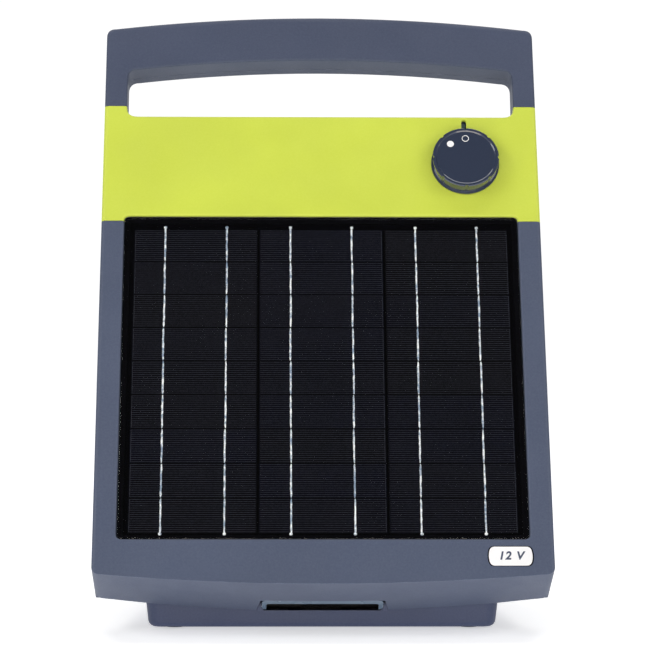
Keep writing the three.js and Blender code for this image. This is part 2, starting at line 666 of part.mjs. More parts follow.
piece('panel_glass', glass, panelSheet(0, -4.2, -1.2), face);
piece('panel_seal', rubber, cut(panelSheet(0, -5.6, -4.5), panelSheet(3.6, -7, -3)), face);
piece('panel_backsheet', backsheetFilm, panelSheet(0, -7.1, -5.9), face);
['left', 'middle', 'right'].forEach((column, i) => {
  const x = (i - (CELL_COLUMNS - 1) / 2) * COLUMN_PITCH;
  const [low, high] = [ARRAY_LIFT - ARRAY_HEIGHT / 2, ARRAY_LIFT + ARRAY_HEIGHT / 2];
  const string = block(x - CELL_WIDTH / 2, x + CELL_WIDTH / 2, low, high, -4.9, -4.5);
  piece(`cell_string_${column}`, silicon, string, face);
});
piece('panel_junction_box', blackPlastic,
  prism(roundedShape(28, 20, 4, 0, 22), -20, -7.4, 4), face);

// ---------------------------------------------------------------- knob and switch (face frame)

function controlKnob() {
  const top = KNOB.height;
  const profile = [
    [0, GAP], [KNOB.radius - 0.3, GAP], [KNOB.radius, GAP + 0.5], [KNOB.radius - 0.2, GAP + 1.2],
    [KNOB.top - 0.6, GAP + 1.4], [KNOB.top - 0.5, top - 1.9], [KNOB.top, top - 1.6], [KNOB.top, top - 0.5],
    [KNOB.top - 0.5, top], [KNOB.dish + 0.7, top], [KNOB.dish, top - 0.5], [0, top - 0.5],
  ].map(([r, z]) => new THREE.Vector2(r, z));
  const body = new THREE.LatheGeometry(profile, 64).rotateX(Math.PI / 2);
  let knob = cut(body, drum(9, -1, 4.6, 0, 0), drum(SPINDLE_RADIUS + GAP, 0, top - 2, 0, 0));
  for (let i = 0; i < KNOB_NOTCHES; i += 1) {
    const angle = (i * 2 * Math.PI) / KNOB_NOTCHES;
    const reach = KNOB.top + NOTCH.radius - NOTCH.deep;
    const [x, y] = [reach * Math.cos(angle), reach * Math.sin(angle)];
    knob = cut(knob, drum(NOTCH.radius, GAP + 1.4, top + 1, x, y, 12));
  }
  for (const mark of [markSpot(0), markSpot(1)]) {
    knob = cut(knob, drum(2.6, top - 0.9, top + 1, mark.x, mark.y));
  }
  return knob.translate(KNOB.x, KNOB.y, 0);
}

// Mark 0 is at the pointer with the knob off; mark 1 comes to it after a 45 degree turn.
function markSpot(i) {
  const angle = Math.PI / 2 + (i * Math.PI) / 4;
  return { x: KNOB_MARK_RADIUS * Math.cos(angle), y: KNOB_MARK_RADIUS * Math.sin(angle) };
}

function rotarySwitch() {
  const body = block(KNOB.x - 10, KNOB.x + 10, KNOB.y - 10, KNOB.y + 10, -SWITCH_DEEP, -SWITCH_HIGH);
  const bush = drum(KNOB_BUSH, -SWITCH_HIGH - 1, 4.2, KNOB.x, KNOB.y);
  return cut(join(body, bush), drum(SPINDLE_RADIUS + GAP, -SWITCH_DEEP + 2, 6, KNOB.x, KNOB.y));
}

const markLow = KNOB.height - 0.9 + GAP;
const off = markSpot(0);
const on = markSpot(1);
piece('control_knob', knobPlastic, controlKnob(), face);
piece('knob_ring', whitePrint,
  ring(1.85, 2.3, markLow, KNOB.height - 0.4, KNOB.x + off.x, KNOB.y + off.y), face);
piece('knob_dot', whitePrint, drum(2.25, markLow, KNOB.height - 0.4, KNOB.x + on.x, KNOB.y + on.y), face);
piece('knob_spindle', steel,
  drum(SPINDLE_RADIUS, -SWITCH_DEEP + 2 + GAP, KNOB.height - 2.4, KNOB.x, KNOB.y), face);
const hexNut = drum(6.6, 0.4, 3.2, KNOB.x, KNOB.y, 6);
piece('knob_nut', steel, cut(hexNut, drum(KNOB_BUSH + GAP, 0, 4, KNOB.x, KNOB.y)), face);
piece('rotary_switch', blackPlastic, rotarySwitch(), face);

// ---------------------------------------------------------------- electronics (upright frame)

function transformerCore() {
  const { x, y0, y1, z0, z1 } = TRANSFORMER;
  const core = block(x - 29, x + 29, y0, y1, z0, z1);
  const window = (side) => block(x + side * 14 - 5, x + side * 14 + 5, y0 - 1, y1 + 1, z0 + 9, z1 - 9);
  return cut(core, window(-1), window(1));
}

function transformerWinding() {
  const { x, y0, y1, z0, z1 } = TRANSFORMER;
  const outer = block(x - 18.5, x + 18.5, y0 - 8, y1 + 1.2, z0 + 9.4, z1 - 9.4);
  const leg = block(x - 9.4, x + 9.4, y0 - 0.4, y1 + 0.4, z0, z1);
  return cut(outer, leg);
}

piece('control_board', boardGreen,
  block(-BOARD.half, BOARD.half, BOARD.rear - 1.6, BOARD.rear, BOARD.low, BOARD.high));
piece('transformer_core', coreSteel, transformerCore());
piece('transformer_winding', copper, transformerWinding());
for (const [side, x] of [['left', 18], ['right', 54]]) {
  piece(`storage_capacitor_${side}`, batteryCase, drum(16, 145, 190, x, FACE_Y + 82, 28));
}
piece('charge_regulator', blackPlastic, block(-50, -10, FACE_Y + 90, FACE_Y + 99.4, 205, 228));

// ---------------------------------------------------------------- battery on the base cover (upright frame)

function strapLoop() {
  const loop = (grow) => block(-12.5 - (grow < 1 ? 5 : 0), 12.5 + (grow < 1 ? 5 : 0),
    BATTERY.front - grow, BATTERY.rear + grow, BATTERY.low - grow, BATTERY.high + grow);
  return cut(loop(1.8), loop(GAP));
}

piece('battery', batteryCase,
  block(-BATTERY.half, BATTERY.half, BATTERY.front, BATTERY.rear, BATTERY.low, BATTERY.high));
piece('battery_strap', webbing, strapLoop());
for (const [side, sign] of SIDES) {
  const x = sign * 62;
  const tabY = BATTERY.front + 14;
  const padX = sign * 45;
  piece(`battery_pad_${side}`, foam, block(padX - 25, padX + 25, BATTERY.front + 4, BATTERY.rear - 4,
    BASE_LOW_Z + BASE_WALL + GAP, BATTERY.low - GAP));
  piece(`battery_tab_${side}`, brass,
    block(x - 3.1, x + 3.1, tabY - 4, tabY + 4, BATTERY.high + GAP, BATTERY.high + 1.5));
  const low = BATTERY.high + 1.5 + GAP;
  const contact = [
    [tabY - 6, low], [tabY + 8, low], [BOARD.rear - 4, BOARD.low - 8], [BOARD.rear, BOARD.low - 8],
    [BOARD.rear, BOARD.low - 1], [BOARD.rear - 1, BOARD.low - 1], [BOARD.rear - 1, BOARD.low - 7],
    [BOARD.rear - 4.4, BOARD.low - 7], [tabY + 7.6, low + 1], [tabY - 6, low + 1],
  ];
  piece(`battery_contact_${side}`, brass, uprightProfile(contact, x - 4, x + 4));
}

// ---------------------------------------------------------------- output terminals (upright frame)

function thumbNut(x) {
  const lobes = 10;
  let nut = drumY(TERMINAL.nut, REAR_Y + 5.2, REAR_Y + 15, x, TERMINAL.z, 40);
  for (let i = 0; i < lobes; i += 1) {
    const angle = (i * 2 * Math.PI) / lobes;
    const groove = drumY(1.6, REAR_Y + 4, REAR_Y + 16, x + (TERMINAL.nut + 0.4) * Math.cos(angle),
      TERMINAL.z + (TERMINAL.nut + 0.4) * Math.sin(angle), 8);
    nut = cut(nut, groove);
  }
  return cut(nut, drumY(TERMINAL.stud + GAP, REAR_Y, REAR_Y + 20, x, TERMINAL.z));
}

const OUTPUTS = [['fence', -TERMINAL.x, redPlastic], ['earth', TERMINAL.x, greenPlastic]];
for (const [terminal, x, colour] of OUTPUTS) {
  const bushBody = join(drumY(TERMINAL.bush, REAR_Y - 6, REAR_Y + 1, x, TERMINAL.z),
    drumY(TERMINAL.flange, REAR_Y + GAP, REAR_Y + 4.6, x, TERMINAL.z));
  piece(`${terminal}_terminal_bush`, blackPlastic,
    cut(bushBody, drumY(TERMINAL.stud + GAP, REAR_Y - 20, REAR_Y + 20, x, TERMINAL.z)));
  piece(`${terminal}_terminal_stud`, steel, drumY(TERMINAL.stud, REAR_Y - 14, REAR_Y + 19, x, TERMINAL.z));
  piece(`${terminal}_terminal_nut`, colour, thumbNut(x));
}

// ---------------------------------------------------------------- post plate and screws

// A steel channel that stands off the rear wall, so that post screw heads fit behind its face.
function keyhole(z) {
  const neckLength = 14;
  const head = drumY(5, REAR_Y + 1, PLATE_OUT + 2, 0, z);
  const neck = block(-2.6, 2.6, REAR_Y + 1, PLATE_OUT + 2, z, z + neckLength);
  return join(head, neck, drumY(2.6, REAR_Y + 1, PLATE_OUT + 2, 0, z + neckLength));
}

function mountingPlate() {
  const [low, high] = [PLATE_SCREW_LOW - 10, PLATE_SCREW_HIGH + 10];
  const outer = block(-PLATE_HALF, PLATE_HALF, REAR_Y + GAP, PLATE_OUT, low, high);
  const channel = block(2 - PLATE_HALF, PLATE_HALF - 2, REAR_Y - 1, PLATE_OUT - 2, low - 1, high + 1);
  const screwHole = (z) => drumY(2.3, REAR_Y - 1, PLATE_OUT + 2, 0, z, 16);
  const holes = [PLATE_SCREW_LOW, PLATE_SCREW_HIGH].map(screwHole);
  return cut(outer, channel, keyhole(PLATE_SCREW_LOW + 18), keyhole(PLATE_SCREW_HIGH - 32), ...holes);
}

function screw(headRadius, headHeight, shankRadius, shankLength) {
  const head = drum(headRadius, -headHeight, 0, 0, 0, 20);
  const shank = drum(shankRadius, -0.5, shankLength, 0, 0, 12);
  const recess = drum(headRadius * 0.45, -headHeight - 1, -headHeight + 1.2, 0, 0, 6);
  return cut(join(head, shank), recess);
}

piece('mounting_plate', steel, mountingPlate());
for (const [end, z] of [['low', PLATE_SCREW_LOW], ['high', PLATE_SCREW_HIGH]]) {
  const plateScrew = screw(4, 2.2, 2, 15).rotateX(Math.PI / 2).translate(0, PLATE_OUT + GAP, z);
  piece(`plate_screw_${end}`, steel, plateScrew);
}
['low_left', 'low_right', 'high_left', 'high_right'].forEach((spot, i) => {
  const [side, y] = SCREW_SPOTS[i];
  const seat = -partingDepth(SCREW_X, y) - 4 - GAP;
  piece(`case_screw_${spot}`, steel, screw(4, 2.4, 1.9, 10).translate(side * SCREW_X, y, seat), face);
});

// ---------------------------------------------------------------- internal wires (upright frame)

const inner = (points) => points.map(([x, y, z]) => [x, FACE_Y + y, z]);
piece('panel_lead', blackPlastic,
  wire(inner([[29.5, 30, 172], [60, 32, 176], [84, 56, 192], [78, 86, 212], [58, 96.5, 218]]), 2));
piece('output_lead', redPlastic,
  wire(inner([[-65, 76, 165], [-78, 77, 155], [-86, 84, 136], [-76, 90, 120], [-74, 97.2, 118]]), 1.8));

export default group;
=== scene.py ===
# Looks of a solar fence energizer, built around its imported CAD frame. Blender 4.5, metres, +Z up.
#
# Every visible piece is a finer copy of its CAD node, or a new piece built in the same place,
# with a procedural material.

import json
import math
import random

import bmesh
import bpy
from mathutils import Matrix, Vector
from mathutils.geometry import convex_hull_2d


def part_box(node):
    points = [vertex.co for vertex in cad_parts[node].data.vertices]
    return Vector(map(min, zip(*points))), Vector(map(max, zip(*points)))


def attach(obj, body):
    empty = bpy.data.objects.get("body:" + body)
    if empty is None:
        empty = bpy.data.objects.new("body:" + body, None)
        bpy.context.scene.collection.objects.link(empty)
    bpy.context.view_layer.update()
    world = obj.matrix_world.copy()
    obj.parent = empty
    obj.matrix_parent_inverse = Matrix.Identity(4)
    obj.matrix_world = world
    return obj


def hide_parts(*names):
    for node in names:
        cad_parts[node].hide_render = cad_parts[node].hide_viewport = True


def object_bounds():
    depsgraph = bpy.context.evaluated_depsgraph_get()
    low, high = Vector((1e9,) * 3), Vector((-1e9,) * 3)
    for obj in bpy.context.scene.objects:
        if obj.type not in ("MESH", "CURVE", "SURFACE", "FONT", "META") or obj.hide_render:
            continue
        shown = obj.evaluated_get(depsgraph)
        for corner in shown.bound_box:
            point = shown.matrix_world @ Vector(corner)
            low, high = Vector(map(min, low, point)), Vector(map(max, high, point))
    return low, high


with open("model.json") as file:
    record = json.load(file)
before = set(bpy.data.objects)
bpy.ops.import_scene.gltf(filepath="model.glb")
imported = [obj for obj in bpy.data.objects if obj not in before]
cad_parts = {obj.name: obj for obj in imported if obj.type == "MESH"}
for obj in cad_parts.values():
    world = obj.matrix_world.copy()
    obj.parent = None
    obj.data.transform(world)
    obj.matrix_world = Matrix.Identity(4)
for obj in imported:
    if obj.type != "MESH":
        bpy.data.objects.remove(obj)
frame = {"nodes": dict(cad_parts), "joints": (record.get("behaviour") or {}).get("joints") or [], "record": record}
cad_low, cad_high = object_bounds()

MM = 0.001
RECORD = frame["record"]
BODY_OF = {node: body for body, nodes in RECORD["behaviour"]["bodies"].items() for node in nodes}
SLOT_OF = {part["node"]: part["material_slot"] for part in RECORD["subparts"]}
JOINTS = {joint["name"]: joint for joint in frame["joints"]}

# The face frame: OUT of the sloping face, UP along it, RIGHT. The knob's axis crosses the face
# KNOB_X to the right of its origin and KNOB_Y above it, in millimetres.
OUT = Vector(JOINTS["knob_turn"]["axis"]).normalized()
RIGHT = Vector((1, 0, 0))
UP = OUT.cross(RIGHT)
KNOB_X, KNOB_Y = 92, 149
FACE = Vector(JOINTS["knob_turn"]["pos_m"]) - (RIGHT * KNOB_X + UP * KNOB_Y) * MM

REAR_WALL = 74.4 * MM           # where the rear shell's outer surface lies along +Y


def on_face(x, y, z):
    """A point given in millimetres in the face frame."""
    return FACE + (RIGHT * x + UP * y + OUT * z) * MM


# ---------------------------------------------------------------- materials: the building blocks


def rgb(text, gain=1.0):
    """A colour written as rrggbb, as linear numbers."""
    parts = [int(text[i:i + 2], 16) / 255 for i in (0, 2, 4)]
    linear = [c / 12.92 if c <= 0.04045 else ((c + 0.055) / 1.055) ** 2.4 for c in parts]
    return (*[min(1.0, c * gain) for c in linear], 1.0)


class Recipe:
    """A node material round one Principled shader."""

    def __init__(self, name):
        self.material = bpy.data.materials.new(name)
        self.material.use_nodes = True
        self.nodes = self.material.node_tree.nodes
        self.links = self.material.node_tree.links
        self.shader = self.nodes["Principled BSDF"]
        self.place = self.add("ShaderNodeTexCoord").outputs["Object"]

    def add(self, kind, **settings):
        node = self.nodes.new(kind)
        for key, value in settings.items():
            setattr(node, key, value)
        return node

    def link(self, source, target):
        self.links.new(source, target)

    def set(self, **values):
        """Uniform values, on the shader's own sockets."""
        for key, value in values.items():
            self.shader.inputs[key.replace("_", " ")].default_value = value

    def stretched(self, scale):
        """The object coordinates, scaled differently along each axis."""
        mapping = self.add("ShaderNodeMapping")
        mapping.inputs["Scale"].default_value = scale
        self.link(self.place, mapping.inputs["Vector"])
        return mapping.outputs["Vector"]

    def noise(self, scale, detail=2.0, rough=0.5, place=None):
        node = self.add("ShaderNodeTexNoise")
        node.inputs["Scale"].default_value = scale
        node.inputs["Detail"].default_value = detail
        node.inputs["Roughness"].default_value = rough
        self.link(place or self.place, node.inputs["Vector"])
        return node.outputs["Fac"]

    def spread(self, value, low, high, to_low=0.0, to_high=1.0):
        node = self.add("ShaderNodeMapRange")
        self.link(value, node.inputs["Value"])
        for key, number in zip(("From Min", "From Max", "To Min", "To Max"), (low, high, to_low, to_high)):
            node.inputs[key].default_value = number
        return node.outputs["Result"]

    def maths(self, operation, a, b):
        node = self.add("ShaderNodeMath", operation=operation)
        for socket, value in zip(node.inputs, (a, b)):
            if isinstance(value, (int, float)):
                socket.default_value = value
            else:
                self.link(value, socket)
        return node.outputs[0]

    def mixed(self, factor, first, second):
        """Between two colours, each a value or a socket."""
        node = self.add("ShaderNodeMix", data_type="RGBA")
        self.link(factor, node.inputs["Factor"])
        for key, colour in (("A", first), ("B", second)):
            socket = [s for s in node.inputs if s.name == key and s.type == "RGBA"][0]
            if isinstance(colour, tuple):
                socket.default_value = colour
            else:
                self.link(colour, socket)
        return [s for s in node.outputs if s.type == "RGBA"][0]

    def edges(self, radius):
        """Near 1 on sharp edges and corners, 0 on flat ground."""
        soft = self.add("ShaderNodeBevel", samples=4)
        soft.inputs["Radius"].default_value = radius
        flat = self.add("ShaderNodeNewGeometry").outputs["Normal"]
        dot = self.add("ShaderNodeVectorMath", operation="DOT_PRODUCT")
        self.link(soft.outputs["Normal"], dot.inputs[0])
        self.link(flat, dot.inputs[1])
        return self.spread(dot.outputs["Value"], 0.995, 0.9)

    def bump(self, height, distance, strength=1.0, below=None):
        node = self.add("ShaderNodeBump")
        node.inputs["Distance"].default_value = distance
        node.inputs["Strength"].default_value = strength
        self.link(height, node.inputs["Height"])
        if below is not None:
            self.link(below, node.inputs["Normal"])
        return node.outputs["Normal"]

    def paint(self, colour=None, roughness=None, normal=None):
        for key, socket in (("Base Color", colour), ("Roughness", roughness), ("Normal", normal)):
            if socket is not None:
                self.link(socket, self.shader.inputs[key])


# ---------------------------------------------------------------- materials: plastics and rubber


def moulded(name, colour, roughness=0.5, grain=0.01, worn=None, coat=0.0):
    """Spark-textured moulded plastic: fine grain, slight cloudiness, burnished edges and dust."""
    mix = Recipe(name)
    cloud = mix.noise(16, 3)
    speckle = mix.noise(900, 2, 0.6)
    tone = mix.mixed(mix.spread(cloud, 0.3, 0.7), rgb(colour, 0.95), rgb(colour, 1.05))
    tone = mix.mixed(mix.spread(speckle, 0.35, 0.75, 0.0, 0.05), tone, rgb(worn or colour, 1.5))
    wear = mix.maths("MULTIPLY", mix.edges(0.5 * MM), mix.spread(mix.noise(120, 3), 0.35, 0.7, 0.05, 0.35))
    tone = mix.mixed(wear, tone, rgb(worn or colour, 1.6))
    handled = mix.spread(mix.noise(42, 4), 0.3, 0.7, roughness - 0.05, roughness + 0.07)
    texture = mix.bump(mix.noise(2400, 2, 0.55), grain * MM, 0.6)
    mix.paint(tone, handled, texture)
    mix.set(IOR=1.46, Specular_IOR_Level=0.45, Coat_Weight=coat, Coat_Roughness=0.06)
    return mix.material


def rubber():
    mix = Recipe("rubber")
    dust = mix.spread(mix.noise(160, 4), 0.45, 0.75, 0.0, 0.35)
    mix.paint(mix.mixed(dust, rgb("17171a"), rgb("4c4a48")), mix.spread(mix.noise(60), 0.3, 0.7, 0.75, 0.95),
              mix.bump(mix.noise(1500), 0.05 * MM))
    return mix.material


def foam():
    mix = Recipe("foam")
    cells = mix.add("ShaderNodeTexVoronoi")
    cells.inputs["Scale"].default_value = 900
    mix.link(mix.place, cells.inputs["Vector"])
    pores = cells.outputs["Distance"]
    mix.paint(mix.mixed(pores, rgb("2c2c30"), rgb("55555b")), None, mix.bump(pores, 0.4 * MM))
    mix.set(Roughness=0.95)
    return mix.material


def woven(name, colour, along):
    """Webbing: two crossed waves of yarn, one running `along` an axis."""
    mix = Recipe(name)
    heights = []
    for axis in ("X", along):
        wave = mix.add("ShaderNodeTexWave", wave_type="BANDS", bands_direction=axis)
        wave.inputs["Scale"].default_value = 260
        wave.inputs["Distortion"].default_value = 0.6
        mix.link(mix.place, wave.inputs["Vector"])
        heights.append(wave.outputs["Fac"])
    weave = mix.maths("MULTIPLY", heights[0], heights[1])
    mix.paint(mix.mixed(weave, rgb(colour, 0.6), rgb(colour, 1.5)), None, mix.bump(weave, 0.3 * MM))
    mix.set(Roughness=0.85, Sheen_Weight=0.2)
    return mix.material


# ---------------------------------------------------------------- materials: panel


def panel_glass():
    mix = Recipe("tempered_glass")
    mix.set(Transmission_Weight=1.0, IOR=1.3, Base_Color=(0.97, 0.985, 0.98, 1))
    smear = mix.spread(mix.noise(30, 4), 0.4, 0.75, 0.0, 0.03)
    mix.paint(None, smear, mix.bump(mix.noise(500, 2), 0.002 * MM, 0.3))
    return mix.material


def silicon():
    """Near-black anti-reflection coating, with a blue cast that changes from cell to cell."""
    mix = Recipe("silicon")
    cell_tint = mix.add("ShaderNodeAttribute", attribute_name="tint").outputs["Fac"]
    cloud = mix.spread(mix.noise(22, 3), 0.3, 0.7, 0.0, 0.5)
    tone = mix.mixed(cell_tint, rgb("050508"), rgb("050612"))
    tone = mix.mixed(cloud, tone, rgb("0b0a0f"))
    mix.paint(tone, mix.spread(mix.noise(300, 2), 0.3, 0.7, 0.45, 0.6), mix.bump(mix.noise(600), 0.004 * MM))
    mix.set(Specular_IOR_Level=0.02)
    return mix.material


def silver_print():
    """The screen-printed fingers of a cell."""
    mix = Recipe("silver_print")
    breaks = mix.spread(mix.noise(700, 3), 0.35, 0.65)
    mix.paint(mix.mixed(breaks, rgb("2a2b34"), rgb("42434e")), None, mix.bump(mix.noise(4000), 0.01 * MM))
    mix.set(Roughness=0.6, Specular_IOR_Level=0.1)
    return mix.material


def solder():
    """Tinned ribbon: bright, with soft blue-grey patches where the solder has flowed."""
    mix = Recipe("solder")
    flow = mix.spread(mix.noise(240, 4, 0.75), 0.42, 0.58)
    mix.paint(mix.mixed(flow, rgb("8798b0"), rgb("ffffff")), mix.spread(flow, 0, 1, 0.5, 0.3),
              mix.bump(mix.noise(900, 3), 0.08 * MM))
    mix.set(Metallic=0.1)
    return mix.material


def backsheet():
    mix = Recipe("backsheet")
    mix.paint(mix.mixed(mix.noise(40, 3), rgb("020204"), rgb("040408")), None,
              mix.bump(mix.noise(600), 0.03 * MM))
    mix.set(Roughness=0.6, Specular_IOR_Level=0.0)
    return mix.material


def seal():
    """Black silicone bead between the glass and the frame; the same black also paints the shadow line round the
    rating plate.
    """
    mix = Recipe("seal")
    mix.paint(mix.mixed(mix.noise(90, 3), rgb("040407"), rgb("09090d")),
              mix.spread(mix.noise(60), 0.3, 0.7, 0.55, 0.75), mix.bump(mix.noise(900), 0.03 * MM))
    mix.set(Specular_IOR_Level=0.0)
    return mix.material


def tinted_lens():
    mix = Recipe("tinted_lens")
    tone = mix.mixed(mix.noise(200, 3), rgb("5f7590"), rgb("8195ac"))
    mix.paint(tone, None, mix.bump(mix.noise(900), 0.01 * MM))
    mix.set(Roughness=0.12, Coat_Weight=0.6, Coat_Roughness=0.05)
    return mix.material


# ---------------------------------------------------------------- materials: metals and electronics


def brushed(name, colour, roughness=0.3, scale=(60, 60, 1800), metal=1.0):
    """Metal with fine parallel marks, stretched along one axis."""
    mix = Recipe(name)
    marks = mix.noise(1, 4, 0.6, mix.stretched(scale))
    cloud = mix.noise(35, 3)
    tone = mix.mixed(mix.spread(cloud, 0.3, 0.7), rgb(colour, 0.85), rgb(colour, 1.1))
    shine = mix.spread(marks, 0.3, 0.7, roughness - 0.08, roughness + 0.15)
    mix.paint(tone, shine, mix.bump(marks, 0.02 * MM))
    mix.set(Metallic=metal)
    return mix.material


def striped(name, first, second, direction, pitch, roughness=0.4, metal=0.8):
    """Fine parallel layers: wound wire or a stack of laminations, `pitch` apart."""
    mix = Recipe(name)
    wave = mix.add("ShaderNodeTexWave", wave_type="BANDS", bands_direction=direction, wave_profile="SIN")
    wave.inputs["Scale"].default_value = math.pi / 10 / pitch
    mix.link(mix.place, wave.inputs["Vector"])
    layer = wave.outputs["Fac"]
    tone = mix.mixed(layer, rgb(first), rgb(second))
    tone = mix.mixed(mix.spread(mix.noise(90, 3), 0.4, 0.8, 0.0, 0.4), tone, rgb(first, 0.7))
    mix.paint(tone, None, mix.bump(layer, 0.2 * MM))
    mix.set(Roughness=roughness, Metallic=metal)
    return mix.material


def circuit_board():
    """Green solder resist over a faint grid of copper tracks."""
    mix = Recipe("circuit_board")
    tracks = mix.add("ShaderNodeTexBrick")
    tracks.inputs["Scale"].default_value = 90
    tracks.inputs["Mortar Size"].default_value = 0.03
    turned = mix.add("ShaderNodeMapping")
    turned.inputs["Rotation"].default_value = (math.pi / 2, 0, 0)
    mix.link(mix.place, turned.inputs["Vector"])
    mix.link(turned.outputs["Vector"], tracks.inputs["Vector"])
    tone = mix.mixed(tracks.outputs["Fac"], rgb("1c5233"), rgb("2f7a49"))
    shine = mix.spread(mix.noise(80, 3), 0.3, 0.7, 0.3, 0.45)
    mix.paint(tone, shine, mix.bump(tracks.outputs["Fac"], 0.05 * MM))
    return mix.material


MATERIALS = {
    "slate_plastic": moulded("slate_plastic", "475066", 0.5, worn="8b93a6"),
    "dark_slate_plastic": moulded("dark_slate_plastic", "3f475d", 0.52, worn="7f879c"),
    "base_plastic": moulded("base_plastic", "39425f", 0.5, worn="7f88a0"),
    "lime_plastic": moulded("lime_plastic", "c6d44a", 0.45, worn="e2ea7d"),
    "knob_plastic": moulded("knob_plastic", "30384b", 0.16, 0.002, worn="3c4458", coat=1.0),
    "white_print": moulded("white_print", "f0f0f2", 0.42, 0.004, worn="ffffff"),
    "satin_slate_plastic": moulded("satin_slate_plastic", "5d6f82", 0.26, 0.003, worn="8d9aa8"),
    "black_plastic": moulded("black_plastic", "15151a", 0.45, worn="4a4a50"),
    "battery_plastic": moulded("battery_plastic", "26272c", 0.5, 0.03, worn="5c5e66"),
    "red_plastic": moulded("red_plastic", "b01f18", 0.35, worn="d9695f"),
    "green_plastic": moulded("green_plastic", "17713a", 0.35, worn="5fae7c"),
    "black_rubber": rubber(),
    "panel_glass": panel_glass(),
    "silicon": silicon(),
    "backsheet_film": backsheet(),
    "clear_lens": tinted_lens(),
    "steel": brushed("steel", "b4b7bb"),
    "brass": brushed("brass", "c9a24f", 0.28, (900, 60, 60)),
    "copper_winding": striped("copper_winding", "7a3d16", "d98a4e", "Z", 0.6 * MM),
    "core_steel": striped("core_steel", "3c3e42", "8d9096", "Y", 0.7 * MM),
    "board_green": circuit_board(),
    "foam": foam(),
    "webbing": woven("webbing", "25272c", "Z"),
}
SILVER_PRINT = silver_print()
SOLDER = solder()
# The seal's black also serves as the painted shadow line round the rating plate.
SEAL_AND_SHADOW_BLACK = seal()


# ---------------------------------------------------------------- meshes: the building blocks


WELD = 0.005 * MM
FLAT_WITHIN = 0.6       # degrees: triangles closer than this in slope are merged into one face
CREASE = 32             # degrees: faces that meet at more than this keep a crisp edge


def as_data(name, mesh):
    """The finished mesh as Blender mesh data."""
    data = bpy.data.meshes.new(name)
    mesh.to_mesh(data)
    mesh.free()
    return data


def object_from(name, data, material):
    piece = bpy.data.objects.new(name, data)
    bpy.context.scene.collection.objects.link(piece)
    piece.data.materials.clear()
    piece.data.materials.append(material)
    return piece


def shade(piece, angle=CREASE):
    """Smooth faces with crisp breaks where they meet at more than `angle` degrees."""
    for polygon in piece.data.polygons:
        polygon.use_smooth = True
    piece.data.set_sharp_from_angle(angle=math.radians(angle))
    weighted = piece.modifiers.new("even_normals", "WEIGHTED_NORMAL")
    weighted.keep_sharp = True


def stand_for(piece, node):
    """The piece moves with the CAD node's body and takes its place."""
    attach(piece, BODY_OF[node])
    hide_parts(node)


def refined(node, edge, segments=2, material=None):
    """A clean copy of a CAD node: triangles merged back into flat faces, and edges broken by `edge` mm."""
    mesh = bmesh.new()
    mesh.from_mesh(frame["nodes"][node].data)
    bmesh.ops.remove_doubles(mesh, verts=mesh.verts, dist=WELD)
    bmesh.ops.dissolve_limit(mesh, angle_limit=math.radians(FLAT_WITHIN), verts=mesh.verts, edges=mesh.edges)
    name = node + "_fine"
    piece = object_from(name, as_data(name, mesh), material or MATERIALS[SLOT_OF[node]])
    bevel = piece.modifiers.new("broken_edges", "BEVEL")
    bevel.width = edge * MM
    bevel.segments = segments
    bevel.limit_method = "ANGLE"
    bevel.angle_limit = math.radians(CREASE)
    shade(piece)
    stand_for(piece, node)
    return piece


def face_points(node):
    """A CAD node's points in the face frame: right, up and out, in millimetres."""
    arms = [vertex.co - FACE for vertex in frame["nodes"][node].data.vertices]
    return [(arm.dot(RIGHT) / MM, arm.dot(UP) / MM, arm.dot(OUT) / MM) for arm in arms]


def face_box(node):
    """A CAD node's extent along RIGHT and UP in the face frame, in millimetres."""
    across, upward, _ = zip(*face_points(node))
    return min(across), max(across), min(upward), max(upward)


def closed_boxes(name, boxes, material, tints=None):
    """One mesh of separate boxes in the face frame, each (x0, x1, y0, y1, z0, z1) in millimetres."""
    mesh = bmesh.new()
    layer = mesh.faces.layers.float.new("tint")
    for i, (x0, x1, y0, y1, z0, z1) in enumerate(boxes):
        corners = [mesh.verts.new(on_face(x, y, z)) for z in (z0, z1) for x, y in
                   ((x0, y0), (x1, y0), (x1, y1), (x0, y1))]
        low, high = corners[:4], corners[4:]
        sides = [(low[k], low[(k + 1) % 4], high[(k + 1) % 4], high[k]) for k in range(4)]
        for loop in [low[::-1], high, *sides]:
            mesh.faces.new(loop)[layer] = tints[i] if tints else 0.0
    return object_from(name, as_data(name, mesh), material)


def loft(mesh, rings):
    """Skin closed rings of points one after the other, and close both ends."""
    loops = [[mesh.verts.new(point) for point in ring] for ring in rings]
    for a, b in zip(loops, loops[1:]):
        for k in range(len(a)):
            n = (k + 1) % len(a)
            mesh.faces.new((a[k], a[n], b[n], b[k]))
    mesh.faces.new(loops[0][::-1])
    mesh.faces.new(loops[-1])


def rounded_outline(half_x, half_y, corner, steps=5):
    """Points round a rectangle with round corners, in order."""
    points = []
    for quarter, (sx, sy) in enumerate(((1, 1), (-1, 1), (-1, -1), (1, -1))):
        for i in range(steps + 1):
            turn = math.pi / 2 * (quarter + i / steps)
            points.append((sx * (half_x - corner) + corner * math.cos(turn),
                           sy * (half_y - corner) + corner * math.sin(turn)))
    return points


def new_piece(node, name, material, build):
    """A new piece on the CAD node's body, its mesh filled in by build(mesh)."""
    mesh = bmesh.new()
    build(mesh)
    bmesh.ops.recalc_face_normals(mesh, faces=mesh.faces)
    piece = object_from(name, as_data(name, mesh), material)
    shade(piece)
    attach(piece, BODY_OF[node])
    return piece


def lofted(node, rings):
    """A lofted piece that takes the CAD node's place."""
    piece = new_piece(node, node + "_fine", MATERIALS[SLOT_OF[node]], lambda mesh: loft(mesh, rings))
    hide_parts(node)


# ---------------------------------------------------------------- solar panel


